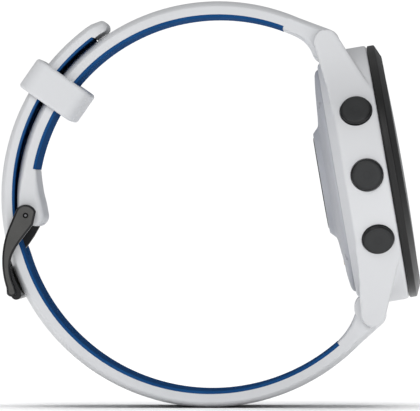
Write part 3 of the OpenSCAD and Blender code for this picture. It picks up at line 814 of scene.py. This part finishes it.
def bezel():
    """The metal ring round the glass, black where it meets the case: painted shade for the dark gap there."""
    profile = [(20.5, -1.3), (21.3, -1.3), (21.3, 0), (22.62, 0), (22.66, 0.14), (22.82, 0.16),
               (BEZEL_R, 0.24), (BEZEL_R, 1.2), (22.87, 1.34), (22.76, 1.46), (20.9, 2.28), (20.72, 2.38),
               (20.5, 2.42), (19.75, 2.44), (19.62, 2.36), (19.6, 1.2), (17.8, 1.2), (17.8, 0.6), (20.5, 0.6)]

    def dark(edge):
        return 1 if 2 <= edge <= 4 else 0

    ring = revolve("bezel_skin", profile, [BEZEL, BLACK], steps=192, index=dark)
    finish_piece(ring, "bezel_metal", "case", "bezel")


def rear_cover():
    """The back cover: a shallow dish that rises to the sensor, with wells for the screws and the contacts."""
    hump_foot = (10.75, -10.85)
    profile = [(7.45, -9.9), (16.8, -9.4), (16.8, -8.1), (20.2, -8.1), (20.2, -9.25), (20.12, -9.5),
               (19.85, -9.78)]
    profile += curve((19.2, -10.02), (16.2, -10.5), (12.6, -10.6), hump_foot, 8)
    profile += curve(hump_foot, (10.1, -10.95), (9.95, -11.1), (9.72, -11.35), 5)[1:]
    profile += curve((9.15, -11.9), (9.05, -12.02), (8.95, -12.05), (8.75, -12.05), 4)
    profile += [(8.38, -12.0), (8.35, -11.3), (7.45, -11.3)]
    cover = revolve("rear_cover_skin", profile, [POLYMER_BACK], steps=144)
    for angle in SCREW_ANGLES:
        well = HEAD_MATRIX @ Matrix.Translation((*on_ring((0, 0), SCREW_RING, angle), 0))
        bore(cover, well, 0.62, -12, -8, 32)
    recess = [(-16.1, -4.7), (-13.1, -4.7), (-13.1, 4.7), (-16.1, 4.7)]
    boolean(cover, plan_prism("cutter", recess, -12, -10.15))
    for i in (-1.5, -0.5, 0.5, 1.5):
        well = HEAD_MATRIX @ Matrix.Translation((CONTACT_U, CONTACT_PITCH * i, 0))
        bore(cover, well, 0.55, -12, -8, 32)
    finish_piece(cover, "case_polymer", "case", "rear_cover")


def screws():
    """Four sunk screws with round sockets in the back cover."""
    head = [(0, -9.05), (0.26, -9.0), (0.26, -9.28), (0.42, -9.3), (0.5, -9.2), (0.5, -8.7), (0.34, -8.6),
            (0.34, -7), (0, -7)]
    joined = None
    for angle in SCREW_ANGLES:
        place = HEAD_MATRIX @ Matrix.Translation((*on_ring((0, 0), SCREW_RING, angle), 0))
        screw = revolve("screws_skin", head, [DARK_STEEL], place, 24)
        joined = screw if joined is None else boolean(joined, screw, "UNION")
    joined.name = "screws_skin"
    finish_piece(joined, "screw_steel", "case", "rear_screws")


def lens():
    """The slightly domed glass, thicker in the middle."""
    edge, steps = LENS_R - 0.1, 24
    dome = [(edge * k / steps, LENS_TOP - LENS_SAG * (k / steps) ** 2) for k in range(steps, -1, -1)]
    foot = [(0, LENS_BOTTOM), (LENS_R - 0.2, LENS_BOTTOM), (LENS_R, LENS_BOTTOM + 0.2), (LENS_R, 2.28)]
    finish_piece(revolve("lens_skin", foot + dome, [LENS], steps=192), "lens_glass", "case", "lens")


def buttons():
    """Five turned caps on stems, with a fine raised rim round each face."""
    profile = [(0, 18.55), (1.0, 18.55), (1.0, 22.2), (1.35, 22.2), (1.35, 23.1), (2.4, 23.1), (2.4, 22.2),
               (2.66, 22.2), (BUTTON_R, 22.34), (BUTTON_R, 23.36), (2.76, 23.5), (2.66, 23.61),
               (2.55, 23.68), (2.47, 23.7), (2.43, 23.66), (2.36, 23.66), (2.3, 23.7), (1.6, 23.72),
               (0.8, 23.69), (0, 23.68)]
    dark_grey = (0.042, 0.043, 0.044)

    # the sides and outer rounding of each cap are black: painted shade and dark reflection from the pocket
    # round it
    def black(edge):
        return 1 if edge < 12 else 0

    for key, angle in BUTTONS.items():
        place = button_matrix(angle)
        axis = (place.to_3x3() @ Vector((0, 0, 1))).normalized()
        finish = turned(key + "_turned", dark_grey, 0.4, place.translation, axis, metal=0.6, lines=30000)
        cap = revolve(key + "_cap", profile, [finish, BLACK], place, 96, index=black)
        finish_piece(cap, "button_metal", key + "_key", key + "_button")


case()
bezel()
rear_cover()
screws()
lens()
buttons()

# ---------------------------------------------------------------- buckle

BAR_R = 38.65  # where the tongue lies on the bar, from the loop's middle
TONGUE_HALF = 1.05


def buckle():
    """Two curved arms on the pin, joined by a bar that has a seat for the tongue."""
    foot, waist, knee = (-34.6, 21.1), (-35.0, 27.9), (-31.6, 32.6)
    outline = arc(PIN, 1.95, 20, 150, 14) + arc((-21.45, 26.15), 15.65, 155, 198, 18)
    outline += arc((-35.42, 20.72), 0.95, 206, 345, 10)
    outline += curve(foot, (-35.5, 23.2), (-36.3, 25.3), waist, 12)[1:]
    outline += curve(waist, (-34.2, 29.4), (-32.6, 31.2), knee, 10)[1:]
    joined = None
    for low, high in ((-ARM_OUT, -ARM_IN), (ARM_IN, ARM_OUT)):
        arm = prism("arm", outline, low, high, [BUCKLE, BLACK])
        # the bevels get the near-black material: painted shade on the arms' rounded edges
        bevel(arm, 0.38, 3, 50, material=1)
        boolean(arm, round_cutter(PIN, 0.5, 14))
        joined = arm if joined is None else boolean(joined, arm, "UNION")
    bar_half = ARM_OUT - 0.45
    bar = arc(LOWER_C, 37.62, 199.0, 206.4, 8)
    bar += arc(on_ring(LOWER_C, 38.55, 206.5), 0.93, 386, 206, 10)[1:]
    bar += arc(LOWER_C, 39.45, 206.0, 202.0, 5)
    bar += [on_ring(LOWER_C, 38.9, 200.6), on_ring(LOWER_C, 38.1, 199.2)]
    # the bar is near-black: painted shade, as its inner side lies in deep shade
    bar_piece = prism("bar", bar, -bar_half, bar_half, [BLACK])
    seat = [on_ring(LOWER_C, r, t) for r, t in ((BAR_R, 200), (BAR_R, 210), (42, 210), (42, 200))]
    boolean(bar_piece, prism("cutter", seat, -1.3, 1.3, [BLACK]))
    boolean(joined, bar_piece, "UNION")
    joined.name = "buckle_skin"
    finish_piece(joined, "buckle_metal", "buckle", "buckle_frame", angle=40)


def tongue():
    """The tongue: an eye on the pin and a bent bar that passes through the strap and rests in its seat."""
    outline = [(-31.5, 33.6), (-30.95, 32.2), (-31.9, 30.5), (-32.9, 29.05), (-34.3, 27.3), (-35.5, 25.4),
               (-35.95, 23.8)]
    tip = ((38.75, -157), (38.75, -153.4), (39.65, -153.2), (39.7, -157))
    outline += [on_ring(LOWER_C, r, t) for r, t in tip]
    outline += [(-37, 23.7), (-36.75, 25.5), (-35.9, 27.4), (-34.85, 29), (-34.25, 30.8), (-34.4, 33.6)]
    # the tongue is near-black: painted shade, as it lies in shade behind the arm and between the strap halves
    piece = prism("tongue_skin", outline, -TONGUE_HALF, TONGUE_HALF, [BLACK])
    boolean(piece, prism("eye", arc(PIN, 1.55, 0, 350, 35), -TONGUE_HALF, TONGUE_HALF, [BLACK]), "UNION")
    boolean(piece, round_cutter(PIN, 0.82, 2))
    bevel(piece, 0.2, 2, 50)
    finish_piece(piece, "buckle_metal", "tongue", "buckle_tongue", angle=40)


def pin():
    """The buckle's pin, with a dark ring and a small bright centre at each end."""
    place = Matrix.Translation((PIN[0], 0, PIN[1])) @ Matrix.Rotation(math.radians(90), 4, "X")
    half = [(0, -12.78), (0.2, -12.78), (0.23, -12.7), (0.24, -12.55), (0.36, -12.55), (0.44, -12.66),
            (0.45, -12.5), (0.45, -10.95), (0.78, -10.95)]
    profile = half + [(r, -y) for r, y in half[::-1]]
    last = len(profile) - 2

    # the ring round each end and the shaft inside the arm's hole are black: painted shade in the hole round
    # the pin
    def dark(edge):
        return 1 if 2 <= min(edge, last - edge) <= 6 else 0

    finish_piece(revolve("pin_skin", profile, [DARK_STEEL, BLACK], place, 40, index=dark),
                 "bar_steel", "upper_band", "buckle_pin")


buckle()
tongue()
pin()

# ---------------------------------------------------------------- badge


def badge():
    """A plain pill let into the free end's outer face."""
    a = math.radians(134)
    out, way = Vector((math.cos(a), 0, math.sin(a))), Vector((-math.sin(a), 0, math.cos(a)))
    origin = Vector((TAIL_C[0], 0, TAIL_C[1]))
    end_r, straight = 1.15, 2.3
    outline = [(end_r * math.cos(math.radians(t)), straight + end_r * math.sin(math.radians(t)))
               for t in range(0, 181, 15)]
    outline += [(-x, -y) for x, y in outline]
    top = TAIL_R + TAIL_T + 0.02
    sections = [[origin + out * r + way * (x * s) + Vector((0, y * s, 0)) for x, y in outline]
                for r, s in ((top - 0.5, 1), (top - 0.12, 1), (top - 0.03, 0.97), (top, 0.93))]
    finish_piece(loft("badge_skin", sections, [BLACK]), "badge", "lower_band", "strap_badge")


badge()

# ---------------------------------------------------------------- springs


def springs():
    """Steel copies of the springs that a joint deforms, each riding on the joint's parent body in place of
    its CAD node.
    """
    slots = {part["node"]: part["material_slot"] for part in frame["record"]["subparts"]}
    for joint in frame["record"]["behaviour"]["joints"]:
        for entry in joint.get("deforming_nodes", []):
            node = entry["node"]
            if not node.endswith("spring"):
                continue
            source = frame["nodes"][node]
            spring = bpy.data.objects.new(node + "_skin", source.data.copy())
            bpy.context.scene.collection.objects.link(spring)
            spring.matrix_world = source.matrix_world.copy()
            spring.data.materials.clear()
            spring.data.materials.append(STEEL)
            finish_piece(spring, slots[node], joint["parent"], node)
            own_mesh(spring)


springs()

# ---------------------------------------------------------------- CAD nodes that stay

KEPT = {
    "lens_seal": RUBBER, "case_seal": RUBBER, "button_seals": RUBBER, "display_panel": DISPLAY,
    "chassis": FRAME_PLASTIC, "light_barrier": FRAME_PLASTIC, "main_board": BOARD, "sensor_board": BOARD,
    "board_shields": STEEL, "tact_switches": STEEL, "vibration_motor": STEEL, "antenna_contacts": GOLD,
    "charge_contacts": GOLD, "beeper": GOLD, "battery": FOIL, "switch_flex": FILM, "sensor_window": WINDOW,
    "sensor_leds": LED, "photodiodes": DIODE}
for node, obj in frame["nodes"].items():
    if obj.hide_render:
        continue
    obj.data.materials.clear()
    obj.data.materials.append(KEPT.get(node, STEEL))  # clips, spring bars and release pins are steel
    obj.data.polygons.foreach_set("material_index", [0] * len(obj.data.polygons))

# ---------------------------------------------------------------- floor, light and camera

SKY, FILL = 1.05, 0.28  # strength of the white the camera sees, and of the light all round
FLOOR_HALF, FLOOR_GAP = 0.6, 0.0001  # metres, as are the places below
LIT_POINT = Vector((0, 0, 0.036))
CAMERA_PLACE, CAMERA_AIM = (0.02665, -1.25, 0.037), Vector((-0.00033, 0, 0.03601))
AREA_LIGHTS = (  # name, place, size, power, colour
    ("key", (-0.3, -0.8, 0.6), 0.5, 2.8, (1, 1, 1)),
    ("front", (0.35, -1.0, 0.12), 0.5, 1.9, (0.98, 0.99, 1)),
    ("top", (0.0, 0.15, 0.9), 0.9, 1.0, (1, 1, 1)),
    ("rear", (-0.7, 0.5, 0.3), 0.6, 0.5, (1, 1, 1)))


def sky():
    """Soft light all round, behind a backdrop that the camera sees as white."""
    world = bpy.data.worlds.new("studio")
    bpy.context.scene.world = world
    world.use_nodes = True
    tree = world.node_tree
    background = tree.nodes["Background"]
    background.inputs["Color"].default_value = (0.97, 0.985, 1, 1)
    background.inputs["Strength"].default_value = FILL
    back = add(tree, "ShaderNodeBackground")
    back.inputs["Color"].default_value = (1, 1, 1, 1)
    back.inputs["Strength"].default_value = SKY
    path = add(tree, "ShaderNodeLightPath")
    choose = add(tree, "ShaderNodeMixShader")
    tree.links.new(path.outputs["Is Camera Ray"], choose.inputs[0])
    tree.links.new(background.outputs[0], choose.inputs[1])
    tree.links.new(back.outputs[0], choose.inputs[2])
    tree.links.new(choose.outputs[0], tree.nodes["World Output"].inputs["Surface"])


def ground():
    """A plain pale floor just under the watch."""
    corners = [(x * FLOOR_HALF, y * FLOOR_HALF, 0) for x, y in ((-1, -1), (1, -1), (1, 1), (-1, 1))]
    mesh = bpy.data.meshes.new("floor")
    mesh.from_pydata(corners, [], [(0, 1, 2, 3)])
    floor = bpy.data.objects.new("floor", mesh)
    bpy.context.scene.collection.objects.link(floor)
    floor.location.z = CAD_BOX[0][2] - FLOOR_GAP
    material, _, shader = new_material("floor")
    shader.inputs["Base Color"].default_value = (0.9, 0.9, 0.9, 1)
    shader.inputs["Roughness"].default_value = 0.9
    shader.inputs["Specular IOR Level"].default_value = 0.0
    mesh.materials.append(material)
    return floor


def lamp(name, light, receivers):
    """Puts a light in the scene that shines only on the receivers."""
    obj = bpy.data.objects.new(name, light)
    bpy.context.scene.collection.objects.link(obj)
    obj.light_linking.receiver_collection = receivers
    return obj


def lights(floor):
    """A wide sun for the floor alone, for the soft contact shadow, and area lights for everything else."""
    only_floor = bpy.data.collections.new("floor_only")
    only_floor.objects.link(floor)
    not_floor = bpy.data.collections.new("all_but_floor")
    not_floor.objects.link(floor)
    not_floor.collection_objects[0].light_linking.link_state = "EXCLUDE"
    sun = bpy.data.lights.new("floor_light", "SUN")
    sun.energy, sun.angle = 3.1, math.radians(62)
    lamp("floor_light", sun, only_floor)
    for name, place, size, power, tint in AREA_LIGHTS:
        light = bpy.data.lights.new(name, "AREA")
        light.energy, light.size, light.color = power, size, tint
        obj = lamp(name, light, not_floor)
        obj.location = place
        obj.rotation_mode = "QUATERNION"
        obj.rotation_quaternion = (Vector(place) - LIT_POINT).to_track_quat("Z", "Y")


def view():
    """A long lens from the side, level with the middle of the watch."""
    data = bpy.data.cameras.new("camera")
    data.sensor_width, data.lens = 36, 596
    data.clip_start, data.clip_end = 0.05, 30
    camera = bpy.data.objects.new("camera", data)
    bpy.context.scene.collection.objects.link(camera)
    camera.location = CAMERA_PLACE
    camera.rotation_mode = "QUATERNION"
    camera.rotation_quaternion = (CAMERA_AIM - camera.location).to_track_quat("-Z", "Y")
    bpy.context.scene.camera = camera


bpy.context.scene.view_settings.view_transform = "Standard"
sky()
lights(ground())
view()
